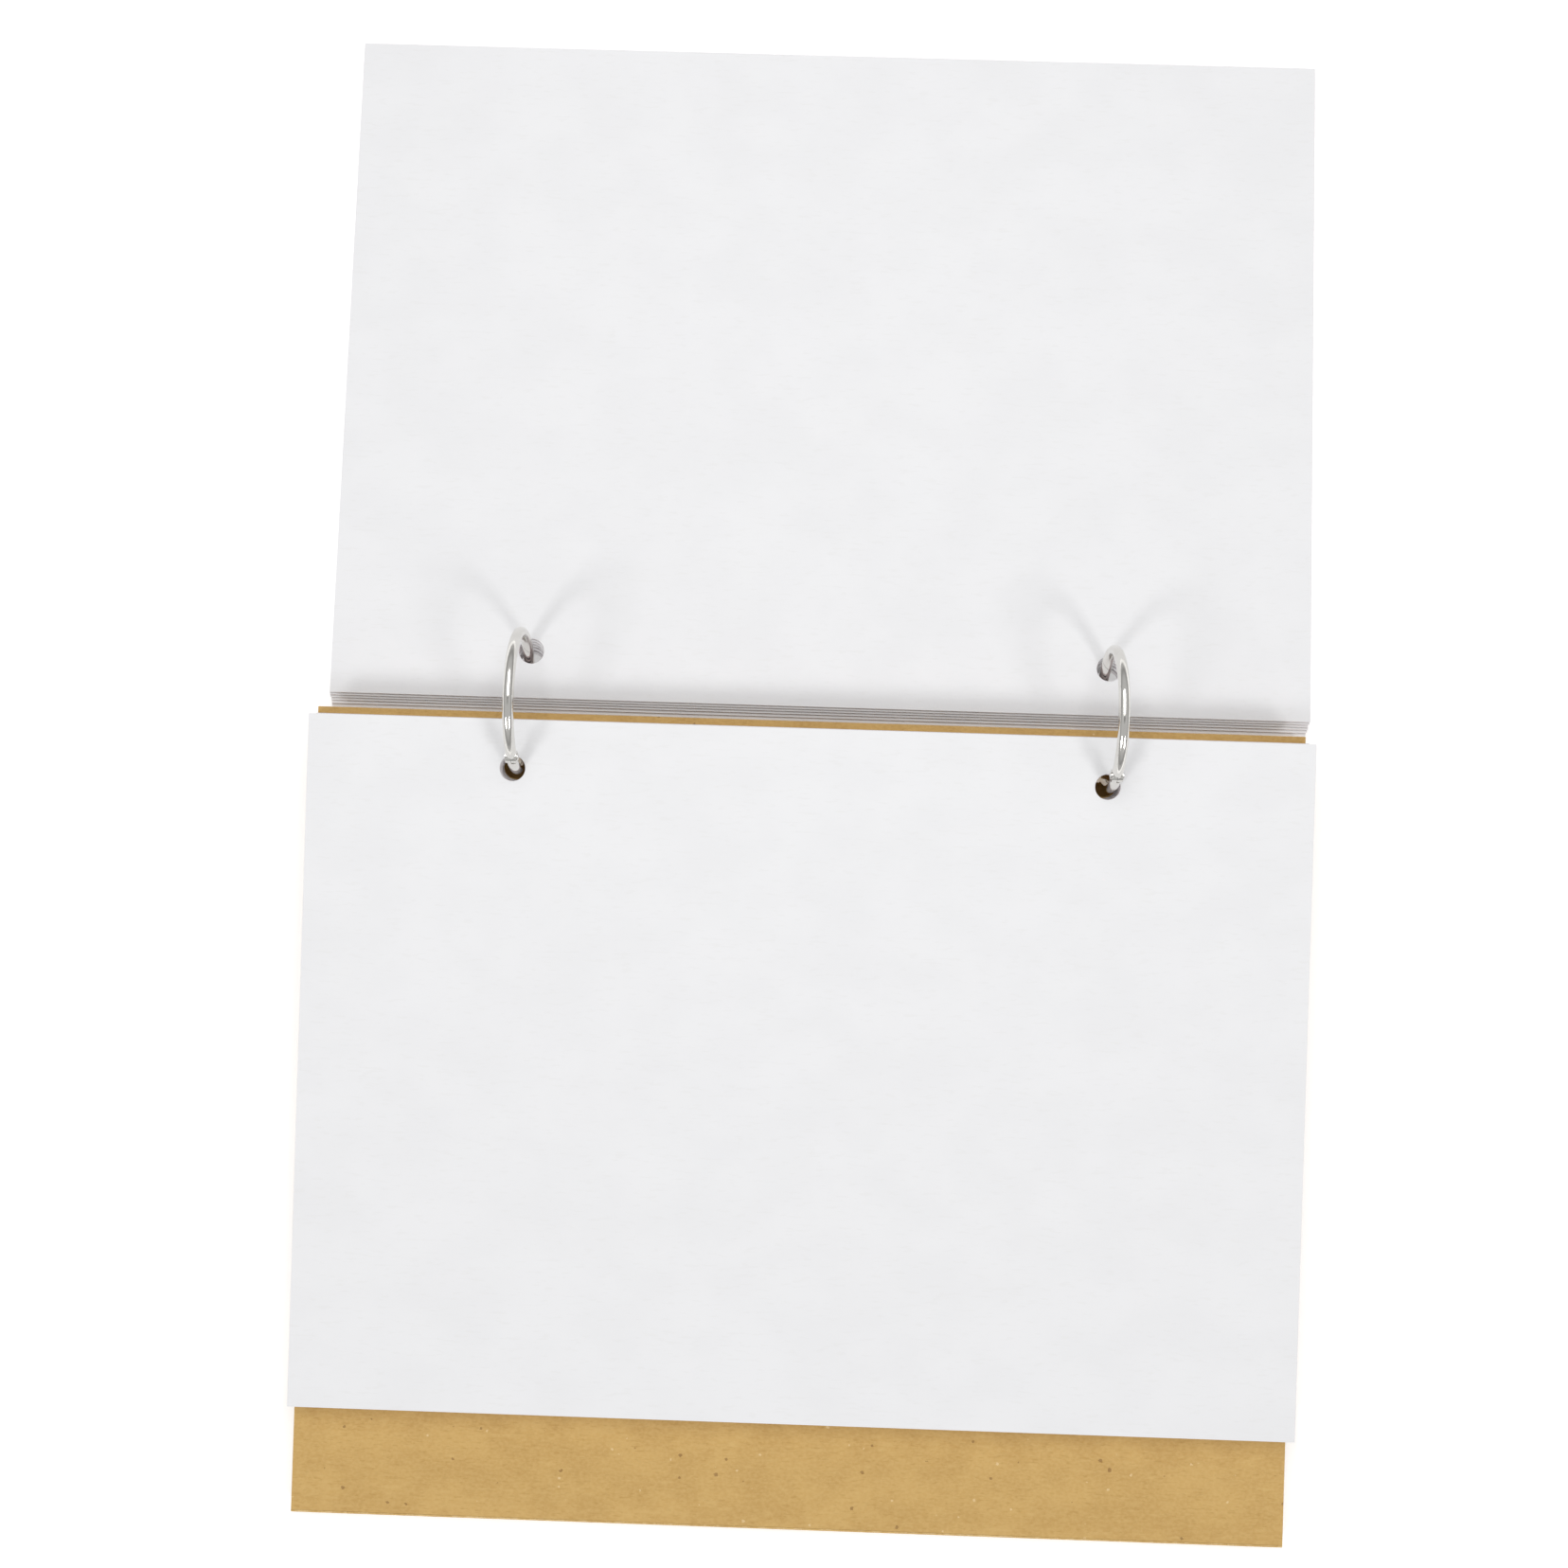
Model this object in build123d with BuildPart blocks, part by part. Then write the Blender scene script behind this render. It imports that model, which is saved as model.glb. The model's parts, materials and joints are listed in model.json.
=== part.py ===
"""A scrapbook album: loose card leaves on two opening book rings, bound to a folding kraft easel.

The album lies open on a table. The leaves still to be turned lie on the easel, at -Y, and the
leaves already turned lie on the table, at +Y. Millimetres, +Z up, X along the bound edge, and
the origin on the table under the middle of the whole object.
"""

import os
from math import acos, asin, cos, degrees, radians, sin, sqrt, tan

from build123d import *

# Leaves
LEAF_WIDTH = 210.0
LEAF_LENGTH = 145.0
LEAF_THICKNESS = 0.4
LEAF_HOLE_TO_EDGE = 10.2
LEAF_GAP = 0.04
LEAF_FAN = 0.06  # degrees that each leaf rises more steeply than the one beneath it
FRONT_LEAVES = 10
TURNED_LEAVES = 6
PILE_SHIFT = 0.65  # how far each pile has slid sideways from the rings' planes
LEAF_STRAY = 0.08  # how far single leaves lie to either side of their pile's middle

# Easel
BOARD_WIDTH = 209.0
BOARD_LENGTH = 170.0
BOARD_THICKNESS = 1.0
BOARD_GAP = 0.3
EASEL_SHIFT = -0.9  # how far the easel has slid sideways from the rings' planes
BOARD_SPRING = 0.55  # degrees that the folded base springs the panels apart
BACK_HOLE_TO_EDGE = 8.2
BASE_HALF_LENGTH = 45.0
BASE_FOLD_GAP = 1.0  # what each base half leaves at the middle fold
BASE_SIDE_MARGIN = 1.0

# Rings
HOLE_RADIUS = 2.65
HOLE_SPACING = 124.0
WIRE_RADIUS = 1.15
RING_RADIUS = 14.35  # to the middle of the wire
RING_BACK_ANGLE = 45.0  # where the back panel hangs, from the ring's lowest point
TURNED_ANGLE = 37.4  # where the lowest turned leaf hangs, from the ring's lowest point
SEAM_ANGLE = 59.0  # the snap seam, from the ring's lowest point towards +Y
SEAM_GAP = 0.08
SEAM_SLANT = 50.0  # degrees between the seam and the wire's cross-section
EYE_RADIUS = 1.3
EYE_GAP = 0.06
EYE_RELIEF = 0.2
RIVET_RADIUS = 0.45
RIVET_CLEARANCE = 0.05
RIVET_HEAD_RADIUS = 0.75
RIVET_HEAD = 0.2
RIVET_HEAD_PLAY = 0.02

RING_HEIGHT = RING_RADIUS + WIRE_RADIUS  # the rings stand on the table
HINGE_ANGLE = SEAM_ANGLE - 180.0


def on_ring(angle):
    """Returns (y, z) from the ring's middle at an angle from its lowest point towards +Y."""
    return RING_RADIUS * sin(radians(angle)), -RING_RADIUS * cos(radians(angle))


def hole_on_ring(low, slope, towards):
    """Finds where a board's middle plane meets the ring.

    low is the plane's far end from the ring's middle as (y, z), slope the angle it rises by
    towards the ring, and towards is +1 for a board that lies at -Y and -1 for one at +Y.
    Returns the distance along the board from its end to the ring.
    """
    direction = towards * cos(radians(slope)), sin(radians(slope))
    along = low[0] * direction[0] + low[1] * direction[1]
    rest = low[0] ** 2 + low[1] ** 2 - RING_RADIUS**2
    return -along - sqrt(along**2 - rest)


class Sheet:
    """Where a flat sheet lies: its end away from the rings, its slope, and its holes."""

    def __init__(self, end, slope, towards, length, to_hole, shift):
        self.end = end
        self.slope = slope
        self.towards = towards
        self.length = length
        self.to_hole = to_hole
        self.shift = shift

    def point(self, along, up=0.0):
        """Returns (y, z) from the rings' middle, along the sheet from its end, and up from it."""
        rise = radians(self.slope)
        y = self.end[0] + self.towards * (along * cos(rise) - up * sin(rise))
        return y, self.end[1] + along * sin(rise) + up * cos(rise)

    def plane(self):
        """Returns the middle plane at the hole line, local Y towards the bound edge."""
        y, z = self.point(self.to_hole)
        rise = radians(self.slope)
        across = self.towards
        return Plane(
            origin=(self.shift, y + RING_Y, z + RING_HEIGHT),
            x_dir=(across, 0, 0),
            z_dir=(0, -across * sin(rise), cos(rise)),
        )


def stack(first_end, slope, towards, count, step, length, hole_to_edge, shift):
    """Stacks sheets upwards, each a little steeper, all hung on the rings by their holes."""
    sheets = []
    to_hole = length - hole_to_edge
    for number in range(count):
        angle = slope + number * LEAF_FAN
        rise = radians(angle)
        low = (
            first_end[0] - towards * sin(rise) * number * step,
            first_end[1] + cos(rise) * number * step,
        )
        slide = hole_on_ring(low, angle, towards) - to_hole
        end = low[0] + towards * slide * cos(rise), low[1] + slide * sin(rise)
        stray = LEAF_STRAY * (number % 3 - 1)  # left, straight, right, and again
        sheets.append(Sheet(end, angle, towards, length, to_hole, shift + stray))
    return sheets


# The back panel rests on the table by its near edge and on the rings' wires at its holes.
back_y, back_z = on_ring(-RING_BACK_ANGLE)
back_to_hole = BOARD_LENGTH - BACK_HOLE_TO_EDGE
back_slope = degrees(asin((back_z + RING_HEIGHT - BOARD_THICKNESS / 2) / back_to_hole))
back_end = (
    back_y - back_to_hole * cos(radians(back_slope)),
    back_z - back_to_hole * sin(radians(back_slope)),
)
back = Sheet(back_end, back_slope, 1, BOARD_LENGTH, back_to_hole, EASEL_SHIFT)

# The base halves and the front panel lie on it in turn.
board_step = BOARD_THICKNESS + BOARD_GAP
front_slope = back_slope + BOARD_SPRING
rear_crease = back.point(0, (BOARD_THICKNESS + BOARD_GAP) / 2)
front_low = back.point(0, 3 * board_step)
front_to_hole = hole_on_ring(front_low, front_slope, 1)
front = Sheet(front_low, front_slope, 1, BOARD_LENGTH, front_to_hole, EASEL_SHIFT)
front_crease = front.point(0, -(BOARD_THICKNESS + BOARD_GAP) / 2)

# The front leaves lie on the front panel.
leaf_step = LEAF_THICKNESS + LEAF_GAP
leaf_to_hole = LEAF_LENGTH - LEAF_HOLE_TO_EDGE
first_front = front.point(
    front_to_hole - leaf_to_hole, (BOARD_THICKNESS + LEAF_THICKNESS) / 2 + LEAF_GAP
)
front_leaves = stack(
    first_front,
    front_slope,
    1,
    FRONT_LEAVES,
    leaf_step,
    LEAF_LENGTH,
    LEAF_HOLE_TO_EDGE,
    -PILE_SHIFT,
)

# The lowest turned leaf hangs on the wires and touches the table along its far edge.
turned_y, turned_z = on_ring(TURNED_ANGLE)
turned_slope = degrees(asin((turned_z + RING_HEIGHT - LEAF_THICKNESS / 2) / leaf_to_hole))
first_turned = (
    turned_y + leaf_to_hole * cos(radians(turned_slope)),
    turned_z - leaf_to_hole * sin(radians(turned_slope)),
)
turned_leaves = stack(
    first_turned,
    turned_slope,
    -1,
    TURNED_LEAVES,
    leaf_step,
    LEAF_LENGTH,
    LEAF_HOLE_TO_EDGE,
    PILE_SHIFT,
)

# The origin is under the middle of the whole object.
near_y = min(
    [board.point(0, BOARD_THICKNESS / 2)[0] for board in (back, front)]
    + [leaf.point(0, LEAF_THICKNESS / 2)[0] for leaf in front_leaves]
)
far_y = max(leaf.point(0, LEAF_THICKNESS / 2)[0] for leaf in turned_leaves)
RING_Y = -(near_y + far_y) / 2


def save(part, name):
    """Labels a finished piece and writes it as its own STEP file."""
    part.label = name
    export_step(part, f"parts/{name}.step")


def make_sheet(sheet, name, width, thickness):
    """Cuts one flat sheet with its two ring holes."""
    with BuildPart() as card:
        with BuildSketch(sheet.plane()):
            with Locations((0, sheet.length / 2 - sheet.to_hole)):
                Rectangle(width, sheet.length)
            with GridLocations(HOLE_SPACING, 0, 2, 1):
                Circle(HOLE_RADIUS, mode=Mode.SUBTRACT)
        extrude(amount=thickness / 2, both=True)
    save(card.part, name)


def make_base_half(sheet, name, side):
    """Makes half of the easel's base, folded in beside its panel; side is +1 above the panel."""
    reach = BASE_HALF_LENGTH - BASE_FOLD_GAP
    with BuildPart() as half:
        with BuildSketch(sheet.plane().offset(side * board_step)):
            with Locations((0, reach / 2 - sheet.to_hole)):
                Rectangle(BOARD_WIDTH - 2 * BASE_SIDE_MARGIN, reach)
        extrude(amount=BOARD_THICKNESS / 2, both=True)
    save(half.part, name)


def ring_point(ring_x, angle):
    """Returns the point, in the model's frame, in the middle of a ring's wire."""
    y, z = on_ring(angle)
    return ring_x, y + RING_Y, z + RING_HEIGHT


def hinge_plane(ring_x, offset, way):
    """Returns a plane across a ring's hinge, offset from the ring's plane and facing way."""
    _, y, z = ring_point(ring_x, HINGE_ANGLE)
    return Plane(origin=(ring_x + offset, y, z), x_dir=(0, 1, 0), z_dir=(way, 0, 0))


def seam_plane(ring_x, way):
    """Returns the slanted end of one ring half, facing away from that half."""
    turn = radians(SEAM_ANGLE)
    slant = radians(SEAM_SLANT)
    _, y, z = ring_point(ring_x, SEAM_ANGLE)
    gap = way * SEAM_GAP / 2
    return Plane(
        origin=(ring_x, y + gap * cos(turn), z + gap * sin(turn)),
        x_dir=(cos(slant), -sin(slant) * cos(turn), -sin(slant) * sin(turn)),
        z_dir=(-way * sin(slant), -way * cos(slant) * cos(turn), -way * cos(slant) * sin(turn)),
    )


def make_ring_half(ring_x, name, way):
    """Makes one half of a book ring, from its eye at the hinge to the snap seam.

    way is -1 for the fixed half, which passes under the piles, and +1 for the gate over them. The
    half's eye lies on the same side of the ring's plane, and the other half's eye is beside it.
    """
    turn = radians(HINGE_ANGLE)
    start = Plane(
        origin=ring_point(ring_x, HINGE_ANGLE),
        x_dir=(1, 0, 0),
        z_dir=(0, -way * cos(turn), -way * sin(turn)),
    )
    overrun = degrees(2 * WIRE_RADIUS * tan(radians(SEAM_SLANT)) / RING_RADIUS)
    block = 8 * WIRE_RADIUS
    with BuildPart() as half:
        with BuildSketch(start):
            Circle(WIRE_RADIUS)
        middle = Axis((ring_x, RING_Y, RING_HEIGHT), (1, 0, 0))
        revolve(axis=middle, revolution_arc=-way * (180 + overrun))
        with BuildSketch(seam_plane(ring_x, way)):
            Rectangle(block, block)
        extrude(amount=block, mode=Mode.SUBTRACT)
        with BuildSketch(hinge_plane(ring_x, way * EYE_GAP / 2, -way)):
            Circle(EYE_RADIUS + EYE_RELIEF)
        extrude(amount=2 * WIRE_RADIUS, mode=Mode.SUBTRACT)
        with BuildSketch(hinge_plane(ring_x, way * EYE_GAP / 2, way)):
            Circle(EYE_RADIUS)
        extrude(amount=WIRE_RADIUS - EYE_GAP / 2)
        with BuildSketch(hinge_plane(ring_x, way * EYE_GAP / 2, way)):
            Circle(RIVET_RADIUS + RIVET_CLEARANCE)
        extrude(amount=2 * WIRE_RADIUS, mode=Mode.SUBTRACT)
    save(half.part, name)


def make_rivet(ring_x, name):
    """Makes the rivet that a ring's two halves turn on, a head on each side of their eyes."""
    head_start = WIRE_RADIUS + RIVET_HEAD_PLAY
    with BuildPart() as rivet:
        with BuildSketch(hinge_plane(ring_x, 0, 1)):
            Circle(RIVET_RADIUS)
        extrude(amount=head_start, both=True)
        for way in (-1, 1):
            with BuildSketch(hinge_plane(ring_x, way * head_start, way)):
                Circle(RIVET_HEAD_RADIUS)
            extrude(amount=RIVET_HEAD)
    save(rivet.part, name)


def report_places():
    """Prints the joint places and a few sizes in the model's frame."""
    print("ring axis", RING_Y, RING_HEIGHT)
    print("hinge", ring_point(0, HINGE_ANGLE), "seam", ring_point(0, SEAM_ANGLE))
    print("rear crease", rear_crease[0] + RING_Y, rear_crease[1] + RING_HEIGHT)
    print("front crease", front_crease[0] + RING_Y, front_crease[1] + RING_HEIGHT)
    print("slopes", back_slope, front_slope, front_leaves[-1].slope, turned_slope)
    print("front panel hole to edge", BOARD_LENGTH - front_to_hole)
    for label, sheet in (("front", front_leaves[-1]), ("turned", turned_leaves[-1])):
        y, z = sheet.point(sheet.to_hole)
        print(label, "top hole z", z + RING_HEIGHT, "angle", degrees(acos(-z / RING_RADIUS)))


if __name__ == "__main__":
    os.makedirs("parts", exist_ok=True)
    make_sheet(back, "easel_back_panel", BOARD_WIDTH, BOARD_THICKNESS)
    make_sheet(front, "easel_front_panel", BOARD_WIDTH, BOARD_THICKNESS)
    make_base_half(back, "easel_base_rear", 1)
    make_base_half(front, "easel_base_front", -1)
    for number, leaf in enumerate(reversed(front_leaves), 1):
        make_sheet(leaf, f"front_leaf_{number:02d}", LEAF_WIDTH, LEAF_THICKNESS)
    for number, leaf in enumerate(reversed(turned_leaves), 1):
        make_sheet(leaf, f"turned_leaf_{number:02d}", LEAF_WIDTH, LEAF_THICKNESS)
    for ring, ring_side in (("left_ring", -1), ("right_ring", 1)):
        place = ring_side * HOLE_SPACING / 2
        make_ring_half(place, f"{ring}_fixed_half", -1)
        make_ring_half(place, f"{ring}_gate_half", 1)
        make_rivet(place, f"{ring}_rivet")
    report_places()
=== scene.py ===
"""Dresses a ring-bound scrapbook album: white card leaves, a folded kraft easel and two book rings.

Everything is in metres, in the album's own frame: +X along the bound edge, +Y towards the leaves
already turned, and +Z up from the table.
"""

from __future__ import annotations

import json
import logging
import math
from dataclasses import dataclass, field
from enum import Enum

import bpy
from mathutils import Euler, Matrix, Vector

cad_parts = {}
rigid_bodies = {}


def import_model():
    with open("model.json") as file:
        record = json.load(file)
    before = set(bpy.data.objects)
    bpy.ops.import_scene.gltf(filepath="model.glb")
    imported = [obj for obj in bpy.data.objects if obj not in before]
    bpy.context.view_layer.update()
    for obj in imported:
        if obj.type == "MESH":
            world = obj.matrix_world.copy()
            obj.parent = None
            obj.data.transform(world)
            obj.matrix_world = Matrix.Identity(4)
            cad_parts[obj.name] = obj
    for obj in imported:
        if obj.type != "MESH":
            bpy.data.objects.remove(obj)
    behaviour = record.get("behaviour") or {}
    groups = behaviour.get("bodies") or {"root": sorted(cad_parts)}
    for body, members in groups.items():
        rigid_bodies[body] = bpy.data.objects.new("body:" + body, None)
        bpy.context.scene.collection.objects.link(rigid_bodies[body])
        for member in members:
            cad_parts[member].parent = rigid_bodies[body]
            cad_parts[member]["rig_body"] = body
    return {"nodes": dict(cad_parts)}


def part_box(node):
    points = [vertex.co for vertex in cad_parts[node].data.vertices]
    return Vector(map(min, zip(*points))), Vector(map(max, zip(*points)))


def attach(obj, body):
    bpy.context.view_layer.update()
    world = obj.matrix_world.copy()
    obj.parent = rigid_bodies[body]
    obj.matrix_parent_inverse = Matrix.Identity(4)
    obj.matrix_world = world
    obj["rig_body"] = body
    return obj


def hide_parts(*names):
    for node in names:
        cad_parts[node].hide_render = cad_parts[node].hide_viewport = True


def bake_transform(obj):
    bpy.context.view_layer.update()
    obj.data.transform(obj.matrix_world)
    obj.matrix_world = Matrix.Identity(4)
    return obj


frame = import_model()

LOG = logging.getLogger("scrapbook_album")
MM = 0.001
FLAT_DEGREES = 0.5  # triangles that turn by less than this are one face
WELD = 0.001 * MM
ROUNDING_SEGMENTS = 2
# Sockets of Blender's Mix node when it mixes colours, which share their names with its other types.
MIX_FIRST, MIX_SECOND, MIX_RESULT = 6, 7, 2


class Slot(Enum):
    """The finishes that the album's record names."""

    KRAFT = "kraft_board"
    CARD = "white_card"
    STEEL = "ring_steel"


class Pile(Enum):
    """The two piles of leaves."""

    FRONT = "front"
    TURNED = "turned"


# --------------------------------------------------------------------------------------------
# Selecting and editing
# --------------------------------------------------------------------------------------------


def deselect_all() -> None:
    """Leaves nothing selected and no object in edit mode."""
    if bpy.context.object and bpy.context.object.mode != "OBJECT":
        bpy.ops.object.mode_set(mode="OBJECT")
    bpy.ops.object.select_all(action="DESELECT")


def pick(piece: bpy.types.Object) -> None:
    """Makes a piece the only selected and the active object.

    Args:
        piece: The object to work on.
    """
    deselect_all()
    piece.select_set(True)
    bpy.context.view_layer.objects.active = piece


def copy_solid(node: str, name: str, flat: bool) -> bpy.types.Object:
    """Copies a solid's mesh into a new piece and welds its loose triangles.

    Args:
        node: The solid's node name.
        name: The new piece's name.
        flat: Whether the solid has only flat faces and round holes, whose triangles are joined.

    Returns:
        The welded piece, with no material yet.
    """
    mesh = frame["nodes"][node].data.copy()
    mesh.name = name
    mesh.materials.clear()
    piece = bpy.data.objects.new(name, mesh)
    bpy.context.scene.collection.objects.link(piece)
    pick(piece)
    bpy.ops.mesh.customdata_custom_splitnormals_clear()
    bpy.ops.object.mode_set(mode="EDIT")
    bpy.ops.mesh.select_all(action="SELECT")
    bpy.ops.mesh.remove_doubles(threshold=WELD)
    if flat:
        bpy.ops.mesh.dissolve_limited(angle_limit=math.radians(FLAT_DEGREES))
    bpy.ops.object.mode_set(mode="OBJECT")
    return piece


def round_edges(piece: bpy.types.Object, width: float, sharp: float) -> None:
    """Rounds a piece's sharp edges and shades it smooth.

    Args:
        piece: The piece to round.
        width: How far the rounding reaches into each face.
        sharp: Edges that turn by more than this many degrees are rounded.
    """
    pick(piece)
    bpy.ops.object.shade_smooth_by_angle(angle=math.radians(sharp))
    bevel = piece.modifiers.new("rounding", "BEVEL")
    bevel.width = width
    bevel.segments = ROUNDING_SEGMENTS
    bevel.limit_method = "ANGLE"
    bevel.angle_limit = math.radians(sharp)
    bevel.use_clamp_overlap = True
    bevel.harden_normals = True
    bpy.ops.object.modifier_apply(modifier=bevel.name)


def dress(piece: bpy.types.Object, finish: bpy.types.Material) -> None:
    """Gives a piece its material.

    Args:
        piece: The piece to dress.
        finish: Its material.
    """
    piece.data.materials.clear()
    piece.data.materials.append(finish)


# --------------------------------------------------------------------------------------------
# Shader building
# --------------------------------------------------------------------------------------------


@dataclass
class Shader:
    """Adds and joins nodes in one node tree."""

    tree: bpy.types.NodeTree

    def node(self, kind: str, **settings: object) -> bpy.types.Node:
        """Adds a node.

        Args:
            kind: Blender's name for the node's type.
            **settings: Properties to set on it.

        Returns:
            The new node.
        """
        made = self.tree.nodes.new(kind)
        for key, value in settings.items():
            setattr(made, key, value)
        return made

    def join(self, source: bpy.types.NodeSocket, target: bpy.types.NodeSocket) -> None:
        """Links an output, the source, to an input, the target."""
        self.tree.links.new(source, target)

    def feed(self, target: bpy.types.NodeSocket, value: object) -> None:
        """Sets an input to a value, or links it if the value is a socket.

        Args:
            target: The input.
            value: A plain value or another node's output.
        """
        if isinstance(value, bpy.types.NodeSocket):
            self.join(value, target)
        else:
            target.default_value = value

    def math(self, operation: str, first: object, second: object = 0.0) -> bpy.types.NodeSocket:
        """Adds a Math node.

        Args:
            operation: Blender's name for the sum.
            first: The first value or socket.
            second: The second value or socket.

        Returns:
            The result's socket.
        """
        made = self.node("ShaderNodeMath", operation=operation)
        self.feed(made.inputs[0], first)
        self.feed(made.inputs[1], second)
        return made.outputs[0]

    def spread(
        self, value: object, low: object, high: object, to_low: float, to_high: float
    ) -> bpy.types.NodeSocket:
        """Maps a value smoothly from one range to another.

        Args:
            value: The value or socket to map.
            low: Where the first range starts.
            high: Where the first range ends.
            to_low: What the start becomes.
            to_high: What the end becomes.

        Returns:
            The mapped value's socket.
        """
        made = self.node("ShaderNodeMapRange", interpolation_type="SMOOTHSTEP")
        for index, entry in enumerate((value, low, high, to_low, to_high)):
            self.feed(made.inputs[index], entry)
        return made.outputs[0]

    def mix(self, factor: object, first: object, second: object) -> bpy.types.NodeSocket:
        """Mixes two colours.

        Args:
            factor: The second colour's share, from 0 to 1.
            first: The first colour or socket.
            second: The second colour or socket.

        Returns:
            The mixed colour's socket.
        """
        made = self.node("ShaderNodeMix", data_type="RGBA", blend_type="MIX")
        self.feed(made.inputs["Factor"], factor)
        self.feed(made.inputs[MIX_FIRST], first)
        self.feed(made.inputs[MIX_SECOND], second)
        return made.outputs[MIX_RESULT]

    def noise(
        self, place: bpy.types.NodeSocket, stretch: tuple, scale: float, detail: float
    ) -> bpy.types.NodeSocket:
        """Adds noise on a place stretched along the axes and returns its value.

        Args:
            place: The coordinate to read.
            stretch: How many times finer the pattern is along X, Y and Z.
            scale: The pattern's scale per metre.
            detail: How many finer layers are added.

        Returns:
            The noise's value output.
        """
        mapping = self.node("ShaderNodeMapping")
        mapping.inputs["Scale"].default_value = stretch
        self.join(place, mapping.inputs["Vector"])
        made = self.node("ShaderNodeTexNoise")
        made.inputs["Scale"].default_value = scale
        made.inputs["Detail"].default_value = detail
        self.join(mapping.outputs["Vector"], made.inputs["Vector"])
        return made.outputs["Fac"]


def new_group(
    name: str, inputs: dict[str, float], outputs: tuple[str, ...]
) -> tuple[bpy.types.NodeTree, Shader, bpy.types.Node, bpy.types.Node]:
    """Starts a shader node group of plain values.

    Args:
        name: The group's name.
        inputs: Input names with their default values.
        outputs: Output names.

    Returns:
        The group, a Shader that adds to it, its input node and its output node.
    """
    group = bpy.data.node_groups.new(name, "ShaderNodeTree")
    for label, value in inputs.items():
        socket = group.interface.new_socket(
            name=label, in_out="INPUT", socket_type="NodeSocketFloat"
        )
        socket.default_value = value
    for label in outputs:
        group.interface.new_socket(name=label, in_out="OUTPUT", socket_type="NodeSocketFloat")
    shader = Shader(group)
    return group, shader, shader.node("NodeGroupInput"), shader.node("NodeGroupOutput")


LONG_FIBRE_SHARE = 0.65  # of the relief; the fibres that lie across give the rest
FIBRE_SOFTNESS = 0.14  # how much higher than its reach a fibre shows in full


def make_fibre_group() -> bpy.types.NodeTree:
    """Makes the pressed-fibre pattern that card and kraft board share.

    Returns:
        A group that puts out the height of the fibres, the cloudiness of the pulp, and the
        mask of single fibres that show.
    """
    inputs = {"Fibres per metre": 900.0, "Clouds per metre": 90.0, "Fibre reach": 0.5}
    outputs = ("Height", "Clouds", "Fibres")
    group, shader, given, result = new_group("pressed fibre", inputs, outputs)
    place = shader.node("ShaderNodeTexCoord").outputs["Object"]
    along = shader.noise(place, (0.22, 1.0, 1.0), 1.0, 3.0)
    across = shader.noise(place, (1.0, 0.45, 1.0), 1.0, 2.0)
    clouds = shader.noise(place, (1.0, 1.3, 1.0), 1.0, 4.0)
    for value, label in (
        (along, "Fibres per metre"),
        (across, "Fibres per metre"),
        (clouds, "Clouds per metre"),
    ):
        shader.join(given.outputs[label], value.node.inputs["Scale"])
    long_part = shader.math("MULTIPLY", along, LONG_FIBRE_SHARE)
    cross_part = shader.math("MULTIPLY", across, 1.0 - LONG_FIBRE_SHARE)
    shader.join(shader.math("ADD", long_part, cross_part), result.inputs["Height"])
    shader.join(shader.spread(clouds, 0.3, 0.7, 0.0, 1.0), result.inputs["Clouds"])
    reach = given.outputs["Fibre reach"]
    full = shader.math("ADD", reach, FIBRE_SOFTNESS)
    shader.join(shader.spread(along, reach, full, 0.0, 1.0), result.inputs["Fibres"])
    return group


def make_cut_edge_group() -> bpy.types.NodeTree:
    """Makes the mask of a sheet's cut edges, told from its faces by which way they look.

    Returns:
        A group that puts out 1 on cut edges and 0 on the flat faces.
    """
    group, shader, _, result = new_group("cut edge", {}, ("Edge",))
    looks = shader.node("ShaderNodeSeparateXYZ")
    shader.join(shader.node("ShaderNodeTexCoord").outputs["Normal"], looks.inputs[0])
    upright = shader.math("ABSOLUTE", looks.outputs["Z"])
    shader.join(shader.spread(upright, 0.35, 0.85, 1.0, 0.0), result.inputs["Edge"])
    return group


RAGGED_PER_METRE = 2500.0
SMALLEST_SPECK = 0.4  # of the size given
SPECK_STRAY = (0.9 * MM, 0.35 * MM, 0.35 * MM)  # how far noise pulls a speck's outline


def make_speck_group() -> bpy.types.NodeTree:
    """Makes sparse specks, each a small ragged blot of its own size.

    Returns:
        A group that puts out 1 inside a speck and 0 elsewhere.
    """
    inputs = {"Specks per metre": 400.0, "Share": 0.1, "Size": 0.16}
    group, shader, given, result = new_group("specks", inputs, ("Specks",))
    place = shader.node("ShaderNodeTexCoord").outputs["Object"]
    ragged = shader.node("ShaderNodeTexNoise")
    ragged.inputs["Scale"].default_value = RAGGED_PER_METRE
    shader.join(place, ragged.inputs["Vector"])
    strayed = shader.node("ShaderNodeVectorMath", operation="MULTIPLY_ADD")
    shader.join(ragged.outputs["Color"], strayed.inputs[0])
    strayed.inputs[1].default_value = SPECK_STRAY
    shader.join(place, strayed.inputs[2])
    cells = shader.node("ShaderNodeTexVoronoi")
    shader.join(strayed.outputs[0], cells.inputs["Vector"])
    shader.join(given.outputs["Specks per metre"], cells.inputs["Scale"])
    chance = shader.node("ShaderNodeSeparateColor")
    shader.join(cells.outputs["Color"], chance.inputs[0])
    chosen = shader.math("LESS_THAN", chance.outputs[0], given.outputs["Share"])
    growth = shader.math("ADD", chance.outputs[1], SMALLEST_SPECK)
    reach = shader.math("MULTIPLY", given.outputs["Size"], growth)
    inside = shader.math("LESS_THAN", cells.outputs["Distance"], reach)
    shader.join(shader.math("MULTIPLY", chosen, inside), result.inputs["Specks"])
    return group


HAIRLINES_PER_METRE = 9000.0
SMEARS_PER_METRE = 260.0


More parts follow.
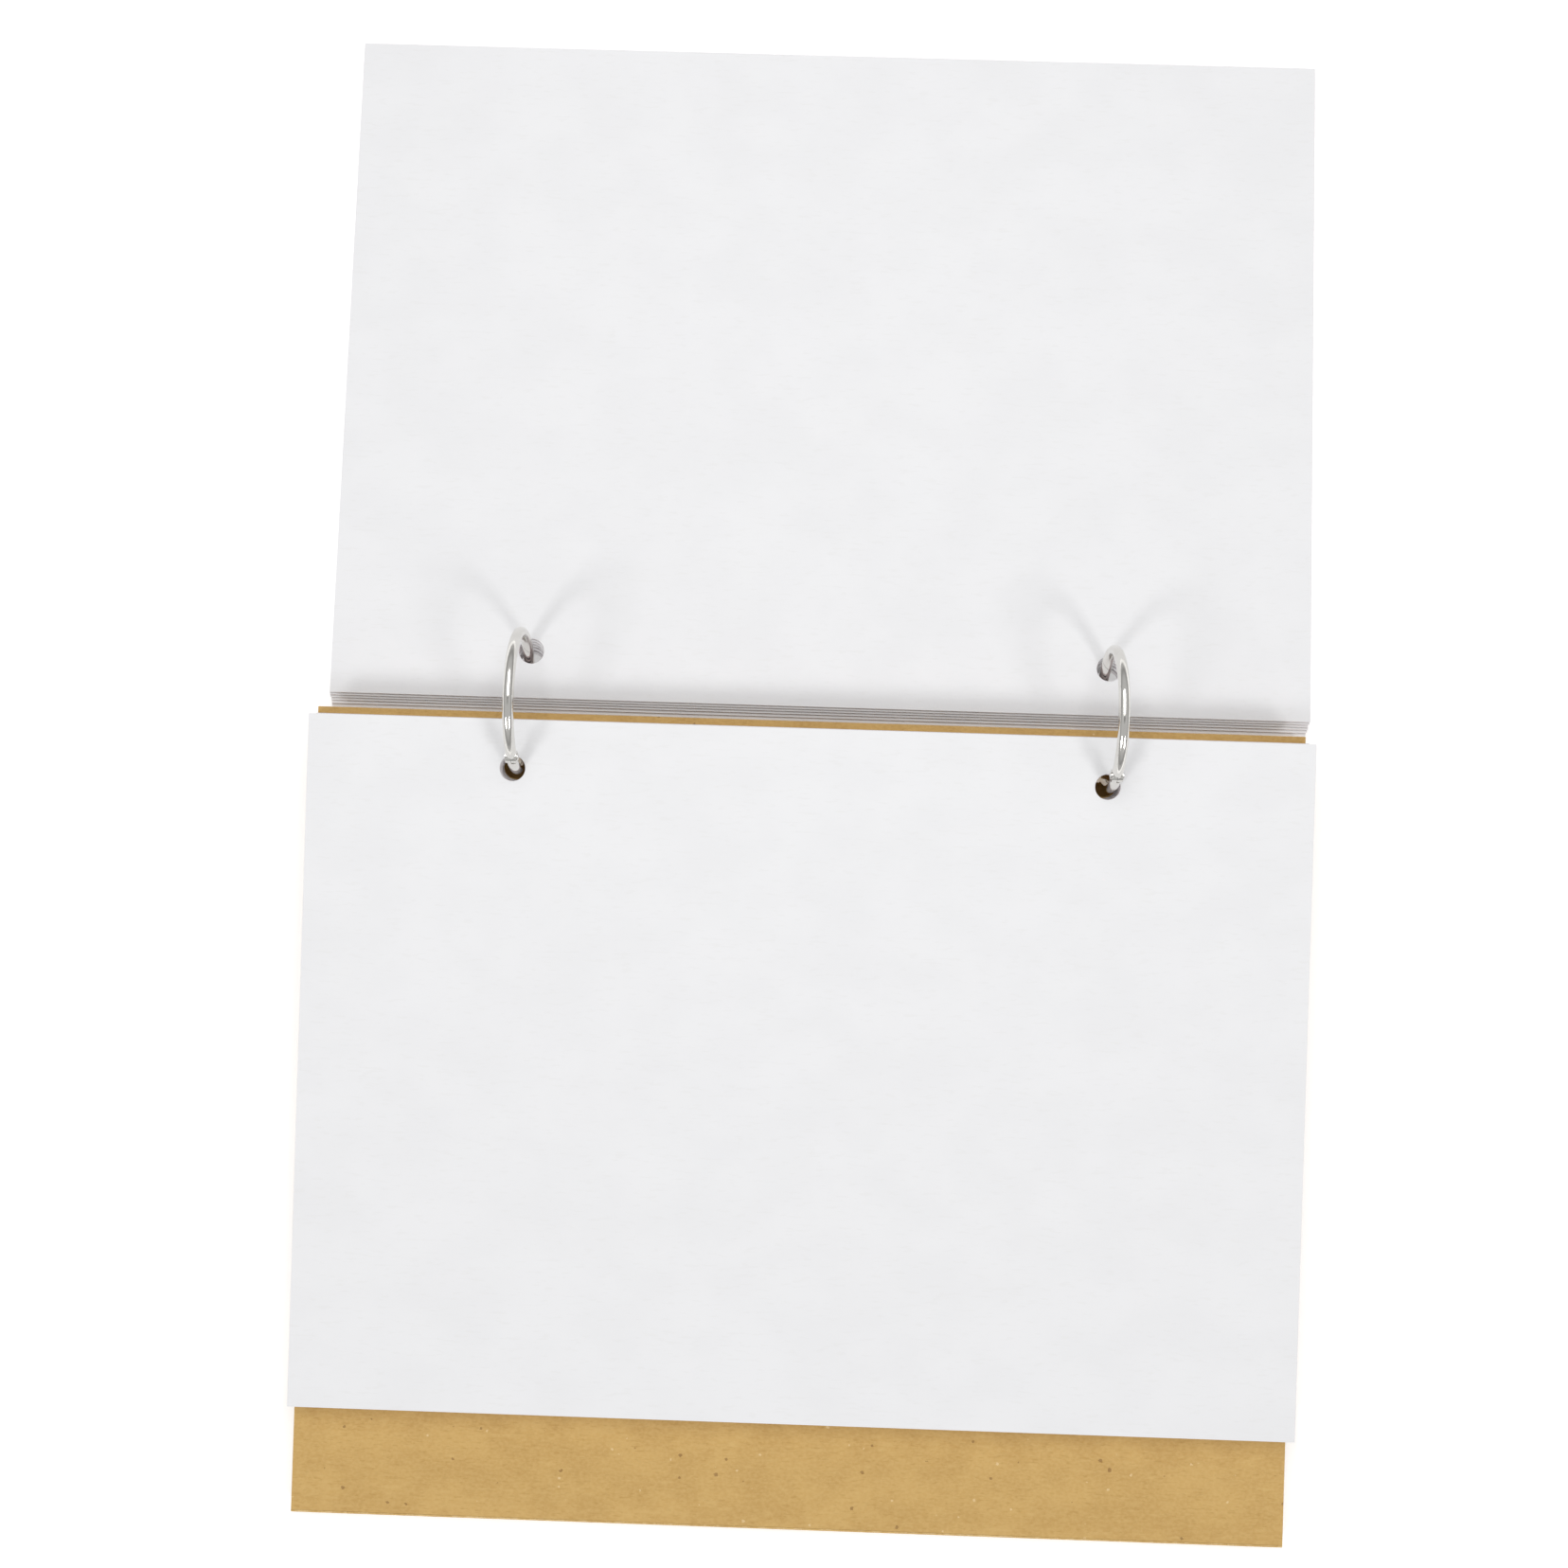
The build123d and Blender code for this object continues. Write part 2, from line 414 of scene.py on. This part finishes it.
def make_rubbed_group() -> bpy.types.NodeTree:
    """Makes fine handling marks: hairline scratches and finger smears.

    Returns:
        A group that puts out the scratches and the smears as values from 0 to 1.
    """
    group, shader, _, result = new_group("rubbed", {}, ("Scratches", "Smears"))
    place = shader.node("ShaderNodeTexCoord").outputs["Object"]
    hairlines = shader.noise(place, (1.0, 0.12, 0.12), HAIRLINES_PER_METRE, 2.0)
    shader.join(shader.spread(hairlines, 0.6, 0.72, 0.0, 1.0), result.inputs["Scratches"])
    smears = shader.noise(place, (1.0, 1.0, 1.0), SMEARS_PER_METRE, 3.0)
    shader.join(shader.spread(smears, 0.35, 0.7, 0.0, 1.0), result.inputs["Smears"])
    return group


@dataclass(frozen=True)
class Groups:
    """The patterns that the finishes share."""

    fibre: bpy.types.NodeTree
    cut_edge: bpy.types.NodeTree
    specks: bpy.types.NodeTree
    rubbed: bpy.types.NodeTree

    @classmethod
    def make(cls) -> Groups:
        """Builds each pattern once and returns them all."""
        return cls(
            make_fibre_group(), make_cut_edge_group(), make_speck_group(), make_rubbed_group()
        )


class Finish:
    """A material under construction, with its surface shader ready to take links."""

    def __init__(self, name: str) -> None:
        """Starts a material with one Principled surface.

        Args:
            name: The material's name.
        """
        self.material = bpy.data.materials.new(name)
        self.material.use_nodes = True
        self.shader = Shader(self.material.node_tree)
        self.surface = self.material.node_tree.nodes["Principled BSDF"]

    def place(self, group: bpy.types.NodeTree, **values: float) -> bpy.types.Node:
        """Places a shared pattern with its own values.

        Args:
            group: The pattern.
            **values: Its inputs, with an underscore for each space in a name.

        Returns:
            The pattern's node.
        """
        made = self.shader.node("ShaderNodeGroup", node_tree=group)
        for label, value in values.items():
            made.inputs[label.replace("_", " ")].default_value = value
        return made

    def bump(self, height: bpy.types.NodeSocket, depth: float) -> None:
        """Raises the surface by a height pattern.

        Args:
            height: The pattern, from 0 to 1.
            depth: The relief's depth in metres.
        """
        made = self.shader.node("ShaderNodeBump")
        made.inputs["Distance"].default_value = depth
        self.shader.join(height, made.inputs["Height"])
        self.shader.join(made.outputs["Normal"], self.surface.inputs["Normal"])


@dataclass(frozen=True)
class CardFinish:
    """Uncoated white card: faint pulp clouds and short fibres, with painted shade on the cut edges,
    which are coloured pinkish and darker than the faces.
    """

    white: tuple = (0.775, 0.775, 0.785, 1.0)
    cloud: tuple = (0.757, 0.757, 0.767, 1.0)
    fibre: tuple = (0.72, 0.715, 0.71, 1.0)
    # Painted shade: the two cut-edge colours tint the leaves' edges pinkish and darker, standing in
    # for the shade and tinted bounce light on them; the first also colours the flecks.
    cut: tuple = (0.88, 0.78, 0.795, 1.0)
    edge_shade_dark: tuple = (0.76, 0.64, 0.66, 1.0)
    fibre_share: float = 0.3
    speck_share: float = 0.25
    specular: float = 0.32
    relief: float = 0.012 * MM

    def make(self, groups: Groups) -> bpy.types.Material:
        """Builds the material.

        Args:
            groups: The shared patterns.

        Returns:
            The finished material.
        """
        finish = Finish("white card")
        shader = finish.shader
        fibre = finish.place(
            groups.fibre, Fibres_per_metre=1500.0, Clouds_per_metre=70.0, Fibre_reach=0.56
        )
        edge = finish.place(groups.cut_edge)
        specks = finish.place(groups.specks, Specks_per_metre=260.0, Share=0.02, Size=0.05)
        colour = shader.mix(fibre.outputs["Clouds"], self.white, self.cloud)
        faint = shader.math("MULTIPLY", fibre.outputs["Fibres"], self.fibre_share)
        colour = shader.mix(faint, colour, self.fibre)
        flecks = shader.math("MULTIPLY", specks.outputs["Specks"], self.speck_share)
        colour = shader.mix(flecks, colour, self.cut)
        # Painted shade on the cut edges: the pinkish edge colours, darker in the clouds, replace
        # the card's colour where the faces turn away from upright.
        cut = shader.mix(fibre.outputs["Clouds"], self.cut, self.edge_shade_dark)
        colour = shader.mix(edge.outputs["Edge"], colour, cut)
        shader.join(colour, finish.surface.inputs["Base Color"])
        rough = shader.spread(fibre.outputs["Height"], 0.3, 0.7, 0.62, 0.82)
        shader.join(rough, finish.surface.inputs["Roughness"])
        finish.bump(fibre.outputs["Height"], self.relief)
        finish.surface.inputs["Specular IOR Level"].default_value = self.specular
        return finish.material


@dataclass(frozen=True)
class KraftFinish:
    """Unbleached kraft board: cloudy pulp, long fibres, bark specks and paler cut edges."""

    tan: tuple = (0.556, 0.355, 0.124, 1.0)
    cloud: tuple = (0.498, 0.308, 0.103, 1.0)
    fibre: tuple = (0.64, 0.44, 0.177, 1.0)
    strand: tuple = (0.39, 0.23, 0.07, 1.0)
    bark: tuple = (0.2, 0.1, 0.035, 1.0)
    chip: tuple = (0.78, 0.6, 0.34, 1.0)
    cut: tuple = (0.74, 0.56, 0.3, 1.0)
    patch_share: float = 0.35
    fibre_share: float = 0.3
    strand_share: float = 0.35
    chip_share: float = 0.55
    bark_share: float = 0.6
    cut_share: float = 0.8
    specular: float = 0.25
    relief: float = 0.03 * MM

    def make(self, groups: Groups, name: str, pressed: float = 0.0) -> bpy.types.Material:
        """Builds the material.

        Args:
            groups: The shared patterns.
            name: The material's name.
            pressed: How far a fold has bruised the board, from 0 to 1.

        Returns:
            The finished material.
        """
        finish = Finish(name)
        shader = finish.shader
        coarse = finish.place(
            groups.fibre, Fibres_per_metre=1300.0, Clouds_per_metre=120.0, Fibre_reach=0.55
        )
        fine = finish.place(
            groups.fibre, Fibres_per_metre=2600.0, Clouds_per_metre=1300.0, Fibre_reach=0.55
        )
        bark = finish.place(groups.specks, Specks_per_metre=520.0, Share=0.07, Size=0.18)
        chips = finish.place(groups.specks, Specks_per_metre=640.0, Share=0.06, Size=0.15)
        edge = finish.place(groups.cut_edge)
        colour = shader.mix(coarse.outputs["Clouds"], self.tan, self.cloud)
        for mask, share, layer in (
            (fine.outputs["Clouds"], self.patch_share, self.fibre),
            (coarse.outputs["Fibres"], self.fibre_share, self.fibre),
            (fine.outputs["Fibres"], self.strand_share, self.strand),
            (chips.outputs["Specks"], self.chip_share, self.chip),
            (bark.outputs["Specks"], self.bark_share, self.bark),
        ):
            colour = shader.mix(shader.math("MULTIPLY", mask, share), colour, layer)
        if pressed:
            crack = shader.spread(fine.outputs["Height"], 0.45, 0.62, 0.0, pressed)
            colour = shader.mix(crack, colour, self.cut)
            shader.join(colour, finish.surface.inputs["Base Color"])
        else:
            pale = shader.math("MULTIPLY", edge.outputs["Edge"], self.cut_share)
            shader.join(shader.mix(pale, colour, self.cut), finish.surface.inputs["Base Color"])
        rough = shader.spread(fine.outputs["Height"], 0.3, 0.7, 0.66, 0.9)
        shader.join(rough, finish.surface.inputs["Roughness"])
        relief = shader.math("ADD", fine.outputs["Height"], coarse.outputs["Height"])
        finish.bump(relief, self.relief)
        finish.surface.inputs["Specular IOR Level"].default_value = self.specular
        return finish.material


@dataclass(frozen=True)
class SteelFinish:
    """Bright nickel plating on wire, with hairlines and finger smears."""

    nickel: tuple = (0.80, 0.785, 0.75, 1.0)
    smeared: tuple = (0.70, 0.68, 0.64, 1.0)
    clean_roughness: float = 0.06
    smeared_roughness: float = 0.17
    smear_share: float = 0.5
    relief: float = 0.002 * MM

    def make(self, groups: Groups) -> bpy.types.Material:
        """Builds the material.

        Args:
            groups: The shared patterns.

        Returns:
            The finished material.
        """
        finish = Finish("bright nickel")
        shader = finish.shader
        rubbed = finish.place(groups.rubbed)
        smears = rubbed.outputs["Smears"]
        film = shader.math("MULTIPLY", smears, self.smear_share)
        colour = shader.mix(film, self.nickel, self.smeared)
        shader.join(colour, finish.surface.inputs["Base Color"])
        finish.surface.inputs["Metallic"].default_value = 1.0
        worn = shader.math("MAXIMUM", smears, rubbed.outputs["Scratches"])
        rough = shader.spread(worn, 0.0, 1.0, self.clean_roughness, self.smeared_roughness)
        shader.join(rough, finish.surface.inputs["Roughness"])
        finish.bump(rubbed.outputs["Scratches"], self.relief)
        return finish.material


# --------------------------------------------------------------------------------------------
# Sub-assemblies
# --------------------------------------------------------------------------------------------


@dataclass
class LeafPile:
    """One pile of loose card leaves, each with softly crushed cut edges and punched holes."""

    pile: Pile
    finish: bpy.types.Material
    edge_rounding: float = 0.13 * MM
    sharp_degrees: float = 40.0

    def leaves(self) -> list[str]:
        """Returns the node names of this pile's leaves, from the top."""
        start = f"{self.pile.value}_leaf_"
        return sorted(name for name in frame["nodes"] if name.startswith(start))

    def build(self) -> int:
        """Makes each leaf of the pile.

        Returns:
            How many leaves there are.
        """
        for node in self.leaves():
            leaf = copy_solid(node, f"card_{node}", flat=True)
            round_edges(leaf, self.edge_rounding, self.sharp_degrees)
            dress(leaf, self.finish)
            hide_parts(node)
            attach(leaf, node)
        return len(self.leaves())


@dataclass
class Crease:
    """The folded strip of board that joins an easel panel to its half of the base."""

    name: str
    panel: str
    base: str
    base_above: bool
    depth: float = 0.7 * MM
    inner_depth: float = 0.1 * MM
    segments: int = 14
    smooth_degrees: float = 35.0

    def ends(self) -> tuple[Vector, Vector, Vector, Vector]:
        """Finds the near corners of the panel and its base half.

        Returns:
            Four corners of the fold's section, from the lowest up, at the board's middle.
        """
        lower, upper = (self.panel, self.base) if self.base_above else (self.base, self.panel)
        corners = []
        for node in (lower, upper):
            mesh = frame["nodes"][node].data
            near = sorted({(round(v.co.y, 6), round(v.co.z, 6)) for v in mesh.vertices})[:2]
            corners += sorted(near, key=lambda corner: corner[1])
        return tuple(Vector((0.0, y, z)) for y, z in corners)

    def section(self) -> list[Vector]:
        """Draws the fold's outline.

        Returns:
            Its points, out along the outside and back along the inside.
        """
        lowest, low_inner, high_inner, highest = self.ends()
        outline = []
        for first, last, depth, turn in (
            (lowest, highest, self.depth, 1),
            (low_inner, high_inner, self.inner_depth, -1),
        ):
            arc = []
            for step in range(self.segments + 1):
                angle = math.pi * step / self.segments
                point = first.lerp(last, (1 - math.cos(angle)) / 2)
                arc.append(point - Vector((0.0, depth * math.sin(angle), 0.0)))
            outline += arc[::turn]
        return outline

    def build(self, finish: bpy.types.Material) -> None:
        """Makes the crease along the board.

        Args:
            finish: The creased board's material.
        """
        low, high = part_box(self.panel)
        outline = self.section()
        mesh = bpy.data.meshes.new(self.name)
        end = [(low.x, corner.y, corner.z) for corner in outline]
        mesh.from_pydata(end, [], [tuple(range(len(end)))])
        crease = bpy.data.objects.new(self.name, mesh)
        bpy.context.scene.collection.objects.link(crease)
        pick(crease)
        bpy.ops.object.mode_set(mode="EDIT")
        bpy.ops.mesh.select_all(action="SELECT")
        reach = (high.x - low.x, 0, 0)
        bpy.ops.mesh.extrude_region_move(TRANSFORM_OT_translate={"value": reach})
        bpy.ops.mesh.select_all(action="SELECT")
        bpy.ops.mesh.normals_make_consistent(inside=False)
        bpy.ops.object.mode_set(mode="OBJECT")
        bpy.ops.object.shade_smooth_by_angle(angle=math.radians(self.smooth_degrees))
        dress(crease, finish)
        lowest, low_inner, high_inner, highest = self.ends()
        middle_low, middle_high = (lowest + low_inner) / 2, (high_inner + highest) / 2
        if not self.base_above:
            middle_low, middle_high = middle_high, middle_low
        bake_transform(crease)


@dataclass
class Easel:
    """The kraft easel: two panels, two base halves and the creases that join them."""

    board: bpy.types.Material
    creased: bpy.types.Material
    edge_rounding: float = 0.12 * MM
    sharp_degrees: float = 40.0
    panels: tuple[str, ...] = (
        "easel_back_panel",
        "easel_front_panel",
        "easel_base_rear",
        "easel_base_front",
    )
    creases: list[Crease] = field(
        default_factory=lambda: [
            Crease("rear_crease", "easel_back_panel", "easel_base_rear", True),
            Crease("front_crease", "easel_front_panel", "easel_base_front", False),
        ]
    )

    def build(self) -> None:
        """Makes the boards with pressed edges, and the creases."""
        for node in self.panels:
            board = copy_solid(node, f"kraft_{node}", flat=True)
            round_edges(board, self.edge_rounding, self.sharp_degrees)
            dress(board, self.board)
            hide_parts(node)
            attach(board, frame["nodes"][node]["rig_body"])
        for crease in self.creases:
            crease.build(self.creased)


@dataclass
class BookRing:
    """One opening book ring: two polished halves and their rivet."""

    side: str
    finish: bpy.types.Material
    edge_rounding: float = 0.05 * MM
    sharp_degrees: float = 38.0

    def build(self) -> None:
        """Makes the ring's halves and rivet with softened edges and smooth wire."""
        for part in ("fixed_half", "gate_half", "rivet"):
            node = f"{self.side}_ring_{part}"
            piece = copy_solid(node, f"polished_{node}", flat=False)
            round_edges(piece, self.edge_rounding, self.sharp_degrees)
            dress(piece, self.finish)
            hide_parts(node)
            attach(piece, frame["nodes"][node]["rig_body"])


# --------------------------------------------------------------------------------------------
# Studio
# --------------------------------------------------------------------------------------------


@dataclass
class SoftLight:
    """A square soft light that looks at the album's middle."""

    name: str
    azimuth: float
    elevation: float
    distance: float
    size: float
    power: float

    def build(self) -> None:
        """Hangs the light; azimuth 0 is on the -Y side and 90 on the +X side."""
        lamp = bpy.data.lights.new(self.name, "AREA")
        lamp.energy = self.power
        lamp.size = self.size
        holder = bpy.data.objects.new(self.name, lamp)
        turn, rise = math.radians(self.azimuth), math.radians(self.elevation)
        direction = Vector(
            (math.sin(turn) * math.cos(rise), -math.cos(turn) * math.cos(rise), math.sin(rise))
        )
        holder.location = direction * self.distance
        holder.rotation_euler = direction.to_track_quat("Z", "Y").to_euler()
        bpy.context.scene.collection.objects.link(holder)


@dataclass
class Studio:
    """The white table, the soft lights, the pale surroundings and the camera above."""

    floor_size: float = 12.0
    floor_drop: float = 0.02 * MM
    floor_white: tuple = (0.9, 0.9, 0.9, 1.0)
    floor_glow: float = 0.25
    lens: float = 39.9
    camera_place: tuple = (-0.00181, -0.02055, 0.3782)
    camera_turn_degrees: tuple = (2.811, 0.574, 1.839)
    surroundings: float = 0.49
    lights: tuple[SoftLight, ...] = (
        SoftLight("near_left_softbox", -42, 40, 1.6, 0.34, 5.6),
        SoftLight("near_right_softbox", 42, 40, 1.6, 0.34, 5.6),
        SoftLight("far_softbox", 180, 68, 0.62, 0.42, 1.62),
    )

    def build(self) -> None:
        """Sets up everything around the album."""
        self.build_floor()
        self.build_surroundings()
        for light in self.lights:
            light.build()
        self.build_camera()
        bpy.context.scene.view_settings.view_transform = "Standard"

    def build_floor(self) -> None:
        """Lays the white table top under the album."""
        deselect_all()
        bpy.ops.mesh.primitive_plane_add(size=self.floor_size, location=(0, 0, -self.floor_drop))
        floor = bpy.context.object
        floor.name = "table_top"
        bpy.ops.object.transform_apply(location=True)
        finish = Finish("white table")
        finish.surface.inputs["Base Color"].default_value = self.floor_white
        finish.surface.inputs["Roughness"].default_value = 0.9
        finish.surface.inputs["Specular IOR Level"].default_value = 0.1
        finish.surface.inputs["Emission Color"].default_value = (1.0, 1.0, 1.0, 1.0)
        finish.surface.inputs["Emission Strength"].default_value = self.floor_glow
        floor.data.materials.append(finish.material)

    def build_surroundings(self) -> None:
        """Fills the room with light: pale low down and overhead, dim between and at the zenith."""
        world = bpy.data.worlds.new("pale room")
        world.use_nodes = True
        bpy.context.scene.world = world
        shader = Shader(world.node_tree)
        looks = shader.node("ShaderNodeSeparateXYZ")
        shader.join(shader.node("ShaderNodeTexCoord").outputs["Generated"], looks.inputs[0])
        upper = shader.spread(looks.outputs["Z"], -0.1, 0.6, 0.25, 1.1)
        behind_camera = shader.spread(looks.outputs["Z"], 0.97, 0.995, 1.0, 0.3)
        backdrop = shader.spread(looks.outputs["Z"], 0.12, 0.3, 1.0, 0.0)
        room = shader.math("MAXIMUM", upper, backdrop)
        strength = shader.math("MULTIPLY", room, behind_camera)
        background = world.node_tree.nodes["Background"]
        background.inputs["Color"].default_value = (1.0, 1.0, 1.0, 1.0)
        glow = shader.math("MULTIPLY", strength, self.surroundings)
        shader.join(glow, background.inputs["Strength"])

    def build_camera(self) -> None:
        """Places the camera above the album, turned slightly as it was held."""
        data = bpy.data.cameras.new("camera_above")
        data.lens = self.lens
        data.sensor_width = 36.0
        data.clip_start = 0.01
        camera = bpy.data.objects.new("camera_above", data)
        camera.location = self.camera_place
        turns = [math.radians(turn) for turn in self.camera_turn_degrees]
        camera.rotation_euler = Euler(turns, "XYZ")
        bpy.context.scene.collection.objects.link(camera)
        bpy.context.scene.camera = camera


def main() -> None:
    """Builds the album's looks and the studio around it."""
    logging.basicConfig(level=logging.INFO, format="%(name)s: %(message)s")
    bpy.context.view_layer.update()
    groups = Groups.make()
    card = CardFinish().make(groups)
    board = KraftFinish().make(groups, "kraft board")
    creased = KraftFinish().make(groups, "creased kraft", pressed=0.6)
    steel = SteelFinish().make(groups)
    for pile in Pile:
        LOG.info("%s pile: %d leaves", pile.value, LeafPile(pile, card).build())
    Easel(board, creased).build()
    LOG.info("easel: panels, base halves and creases")
    for side in ("left", "right"):
        BookRing(side, steel).build()
        LOG.info("%s book ring", side)
    Studio().build()
    LOG.info("studio: table, lights and camera")


if __name__ == "__main__":
    main()
